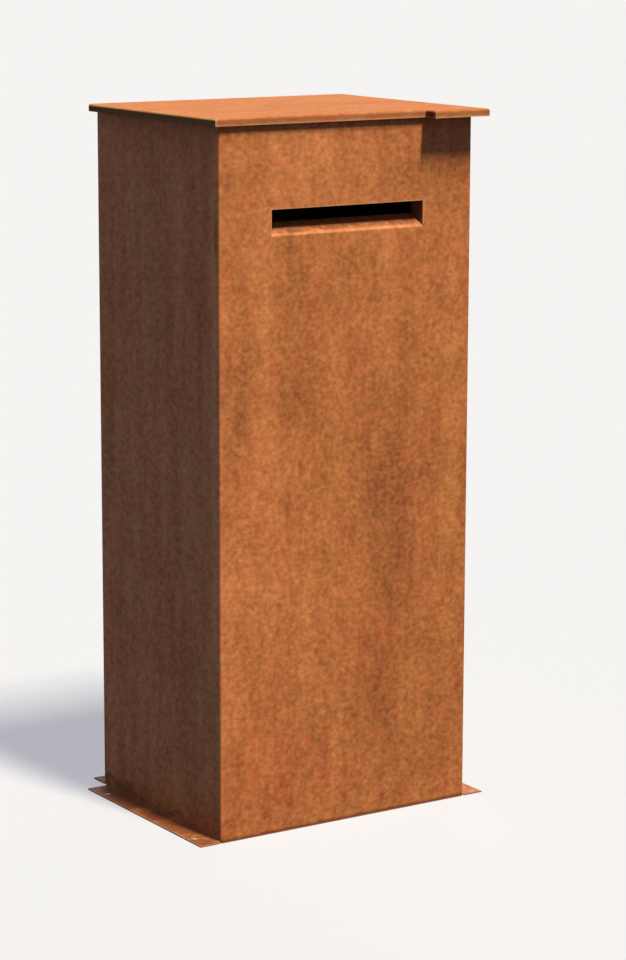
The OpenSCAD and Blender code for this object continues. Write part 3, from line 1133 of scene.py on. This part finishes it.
@dataclass
class LidBuffers:
    """Moulded rubber buffers with a rounded rim and a dimple.

    Attributes:
        node: The CAD node that they stand for.
        edge_mm: Radius of the rounded rim.
        dimple_mm: Radius and depth of the dimple.
    """

    node: str = "lid_buffers"
    edge_mm: float = 0.9
    dimple_mm: Pair = (1.9, 0.8)

    def build(self, shop: NodeShop, material: bpy.types.Material) -> None:
        """Makes both buffers.

        Args:
            shop: The node trees.
            material: The finish.
        """
        boxes = solids_of(self.node)
        lo, hi = boxes[0]
        radius, height = (hi.x - lo.x) / 2 / MM, (hi.z - lo.z) / MM
        rim = [
            (radius - self.edge_mm * (1 - math.cos(a)), -height + self.edge_mm * (1 - math.sin(a)))
            for a in (math.radians(d) for d in range(0, 91, 15))
        ]
        wide, deep = self.dimple_mm
        profile = [
            (0.0, 0.0), (radius, 0.0), *rim,
            (wide, -height), (wide - 0.3, -height + 0.12),
            (wide - 0.5, -height + deep - 0.1), (0.0, -height + deep),
        ]
        points = [((a.x + b.x) / 2, (a.y + b.y) / 2, b.z) for a, b in boxes]
        piece = shop.turn("rubber_buffers", profile, points, Facing.UP, material, segments=40)
        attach(piece, "lid")
        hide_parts(self.node)


@dataclass
class Welds:
    """Beads that hold the hood, the floor's rails and the lid's hinge leaves.

    Attributes:
        bead_mm: Radius of a bead.
        stitch_mm: Length of a stitch weld.
        roof_shares: Where the stitches along the hood's roof have their middles.
        rail_shares: Where those along a rail have theirs.
        hood_gaps_mm: What the beads up the hood's cheeks leave bare at their feet and tops.
        leaf_gap_mm: What the bead along a leaf's long edge leaves bare at each end.
        leaf_side_mm: Start and end of the beads on a leaf's short edges.
        leaf_sunk_mm: How far those beads' middles lie under the lid's plate.
    """

    bead_mm: float = 1.3
    stitch_mm: float = 30.0
    roof_shares: Point = (0.1, 0.5, 0.9)
    rail_shares: Point = (0.12, 0.5, 0.88)
    hood_gaps_mm: Pair = (6.0, 4.0)
    leaf_gap_mm: float = 7.0
    leaf_side_mm: Pair = (4.0, 24.0)
    leaf_sunk_mm: float = 0.3

    def box_runs(self) -> list[Run]:
        """Finds the runs on the box: round the hood and under the rails.

        Returns:
            Start and end of each run.
        """
        low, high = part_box("slot_hood")
        runs = []
        for x in (low.x, high.x):
            foot, top = low.z + self.hood_gaps_mm[0] * MM, high.z - self.hood_gaps_mm[1] * MM
            runs.append(((x, low.y, foot), (x, low.y, top)))
        half = self.stitch_mm * MM / 2
        for share in self.roof_shares:
            x = low.x + share * (high.x - low.x)
            runs.append(((x - half, low.y, high.z), (x + half, low.y, high.z)))
        for rail, side in (("left_floor_rail", -1), ("right_floor_rail", 1)):
            lo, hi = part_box(rail)
            x = lo.x if side < 0 else hi.x
            for share in self.rail_shares:
                y = lo.y + share * (hi.y - lo.y)
                runs.append(((x, y - half, lo.z), (x, y + half, lo.z)))
        return runs

    def lid_runs(self) -> list[Run]:
        """Finds the runs on the lid: along the free edges of the hinge leaves.

        Returns:
            Start and end of each run.
        """
        runs = []
        for leaf in ("left_hinge_lid_leaf", "right_hinge_lid_leaf"):
            lo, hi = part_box(leaf)
            top = hi.z - self.leaf_sunk_mm * MM
            inset = self.leaf_gap_mm * MM
            runs.append(((lo.x + inset, lo.y, top), (hi.x - inset, lo.y, top)))
            near, far = (lo.y + y * MM for y in self.leaf_side_mm)
            for x in (lo.x, hi.x):
                runs.append(((x, near, top), (x, far, top)))
        return runs

    def build(self, shop: NodeShop, material: bpy.types.Material) -> None:
        """Lays the beads, one piece for each body.

        Args:
            shop: The node trees.
            material: The finish.
        """
        for body, runs, slot in (
            ("box", self.box_runs(), "rusted_inside"), ("lid", self.lid_runs(), "hinge_steel"),
        ):
            piece = shop.weld(body + "_weld_beads", runs, self.bead_mm, material)
            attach(piece, body)


@dataclass
class Sheets:
    """The folded and cut sheets that come straight from the CAD model.

    Attributes:
        finishes: The finish of each CAD node that stays in view.
    """

    finishes: dict[str, Patina | RustingSteel] = field(default_factory=lambda: {
        "body_shell": BODY_RUST,
        "back_panel": BODY_RUST,
        "lid": LID_RUST,
        "slot_hood": INNER_RUST,
        "letter_floor": INNER_RUST,
        "left_floor_rail": INNER_RUST,
        "right_floor_rail": INNER_RUST,
        "left_hinge_fixed_leaf": HINGE_STEEL,
        "right_hinge_fixed_leaf": HINGE_STEEL,
        "left_hinge_lid_leaf": HINGE_STEEL,
        "right_hinge_lid_leaf": HINGE_STEEL,
    })

    def dress(self) -> None:
        """Puts each sheet's finish on its material slots."""
        made: dict[str, bpy.types.Material] = {}
        for node, finish in self.finishes.items():
            if finish.name not in made:
                made[finish.name] = finish.build()
            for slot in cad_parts[node].material_slots:
                slot.material = made[finish.name]
            log.info("%s: %s", node, finish.name)


# ------------------------------------------------------------------ studio


@dataclass
class Studio:
    """Plain pale floor, one high soft key, a low fill from behind, and the camera.

    Attributes:
        pale: Colour of the floor and the air behind it, as the camera sees them.
        key_strength: Light of a white sheet that faces the key.
        key_colour: The key's tint.
        key_heights: Heights above the horizon of the key's stacked lamps, in degrees.
        key_side: How far the key stands to the right of the front's middle, in degrees.
        key_spread: Apparent width of the key, in degrees.
        ambient: Light of the surroundings.
        ambient_colour: Tint of the surroundings.
        fill_strength: Light of the low fill from behind.
        fill_height: The fill's height above the horizon, in degrees.
        fill_side: How far it stands round to the right of the front's middle, in degrees.
        fill_spread: Apparent width of the fill, in degrees.
        floor_m: Radius of the floor.
        floor_shade: How strongly the floor shows the key's shadow.
        floor_bounce: Share of light that the floor sends back up.
        eye: The camera's place.
        heading: The camera's turn from +Y towards +X, in radians.
        tilt: The camera's tilt below the horizon, in radians.
        roll: The camera's turn about its own line of sight, in radians.
        lens_mm: Focal length for a 36 mm sensor along the picture's long side.
    """

    pale: str = "F5F3F1"
    key_strength: float = 1.98
    key_colour: tuple[float, float, float] = (1.0, 0.95, 0.80)
    key_heights: tuple[float, ...] = (60.5, 65.0, 69.5)
    key_side: float = 8.8
    key_spread: float = 5.5
    ambient: float = 0.07
    ambient_colour: tuple[float, float, float, float] = (0.55, 1.15, 1.45, 1.0)
    fill_strength: float = 0.45
    fill_height: float = 5.0
    fill_side: float = 137.0
    fill_spread: float = 40.0
    floor_m: float = 60.0
    floor_shade: float = 0.26
    floor_bounce: float = 0.012
    eye: Point = (-2.1553, -3.3651, 1.2371)
    heading: float = 0.5794
    tilt: float = 0.1946
    roll: float = 0.0028
    lens_mm: float = 109.98

    @staticmethod
    def seen(tree: Tree) -> Socket:
        """Makes a socket that is 1 for what the camera, gloss and glass see, else 0.

        Args:
            tree: The node tree.

        Returns:
            The socket.
        """
        path = add_node(tree, "ShaderNodeLightPath")
        total: Any = path.outputs["Is Camera Ray"]
        for name in ("Is Glossy Ray", "Is Transmission Ray"):
            total = add_node(tree, "ShaderNodeMath", {0: total, 1: path.outputs[name]},
                             operation="ADD", use_clamp=True).outputs[0]
        return total

    def air(self) -> None:
        """Sets the world: pale to the eye, dim and slightly cool as a light."""
        world = bpy.data.worlds.new("studio_air")
        bpy.context.scene.world = world
        world.use_nodes = True
        tree = world.node_tree
        tree.nodes.clear()
        dim = add_node(tree, "ShaderNodeBackground", {
            "Color": self.ambient_colour, "Strength": self.ambient,
        })
        shown = add_node(tree, "ShaderNodeBackground", {"Color": srgb(self.pale), "Strength": 1.0})
        mixed = add_node(tree, "ShaderNodeMixShader", {
            0: self.seen(tree), 1: dim.outputs[0], 2: shown.outputs[0],
        })
        add_node(tree, "ShaderNodeOutputWorld", {"Surface": mixed.outputs[0]})

    def floor(self) -> None:
        """Lays the floor, a wide disc whose lit part matches the air."""
        shape = bmesh.new()
        bmesh.ops.create_circle(shape, cap_ends=True, radius=self.floor_m, segments=96)
        mesh = bpy.data.meshes.new("floor")
        shape.to_mesh(mesh)
        shape.free()
        plane = link_object("studio_floor", mesh)
        material = bpy.data.materials.new("painted_studio_floor")
        material.use_nodes = True
        tree = material.node_tree
        tree.nodes.clear()
        seen = self.seen(tree)
        up = self.key_strength * sum(
            math.sin(math.radians(h)) for h in self.key_heights
        ) / len(self.key_heights)
        low = self.fill_strength * math.sin(math.radians(self.fill_height))
        glow = [
            max(0.0, pale - self.floor_shade * (up * tint + low + self.ambient * air))
            for pale, tint, air in zip(srgb(self.pale), self.key_colour, self.ambient_colour)
        ]
        paint = add_node(tree, "ShaderNodeMix", {
            0: seen, 6: (self.floor_bounce,) * 3 + (1.0,), 7: (self.floor_shade,) * 3 + (1.0,),
        }, data_type="RGBA")
        matt = add_node(tree, "ShaderNodeBsdfDiffuse", {"Color": paint.outputs[2]})
        lit = add_node(tree, "ShaderNodeEmission", {"Color": (*glow, 1.0), "Strength": seen})
        both = add_node(tree, "ShaderNodeAddShader", {0: matt.outputs[0], 1: lit.outputs[0]})
        add_node(tree, "ShaderNodeOutputMaterial", {"Surface": both.outputs[0]})
        mesh.materials.append(material)

    @staticmethod
    def sun(
        name: str, strength: float, height: float, side: float, spread: float,
    ) -> bpy.types.Light:
        """Hangs a distant soft lamp.

        Args:
            name: The lamp's name.
            strength: Light of a white sheet that faces it.
            height: Degrees above the horizon.
            side: Degrees to the right of the front's middle, seen from above.
            spread: Apparent width in degrees.

        Returns:
            The lamp's data.
        """
        data = bpy.data.lights.new(name, "SUN")
        data.energy = strength * math.pi
        data.angle = math.radians(spread)
        lamp = link_object(name, data)
        e, s = math.radians(height), math.radians(side)
        towards = Vector((math.sin(s) * math.cos(e), -math.cos(s) * math.cos(e), math.sin(e)))
        lamp.rotation_mode = "QUATERNION"
        lamp.rotation_quaternion = towards.to_track_quat("Z", "Y")
        return data

    def camera(self) -> None:
        """Sets the camera up."""
        data = bpy.data.cameras.new("camera")
        data.lens = self.lens_mm
        data.sensor_width = 36.0
        data.clip_start, data.clip_end = 0.1, 200.0
        eye = link_object("camera", data)
        turn = (
            Matrix.Rotation(-self.heading, 4, "Z")
            @ Matrix.Rotation(math.pi / 2 - self.tilt, 4, "X")
            @ Matrix.Rotation(self.roll, 4, "Z")
        )
        eye.matrix_world = Matrix.Translation(self.eye) @ turn
        bpy.context.scene.camera = eye

    def build(self) -> None:
        """Sets up the floor, the light and the camera."""
        bpy.context.scene.view_settings.view_transform = "Standard"
        self.camera()
        self.air()
        self.floor()
        for number, height in enumerate(self.key_heights, 1):
            share = self.key_strength / len(self.key_heights)
            key = self.sun(f"key_{number}", share, height, self.key_side, self.key_spread)
            key.color = self.key_colour
        self.sun(
            "back_fill", self.fill_strength, self.fill_height, self.fill_side, self.fill_spread,
        )


def main() -> None:
    """Builds everything in order."""
    logging.basicConfig(level=logging.INFO, format="%(name)s: %(message)s")
    Studio().build()
    Sheets().dress()
    shop = NodeShop()
    rivet_steel = RIVET_STEEL.build()
    for node in ("hinge_rivets", "back_panel_rivets"):
        Rivets(node).build(shop, rivet_steel)
    HingePins().build(shop, PIN_STEEL.build())
    LidBuffers().build(shop, MouldedRubber().build())
    Welds().build(shop, WELD_STEEL.build())


if __name__ == "__main__":
    main()
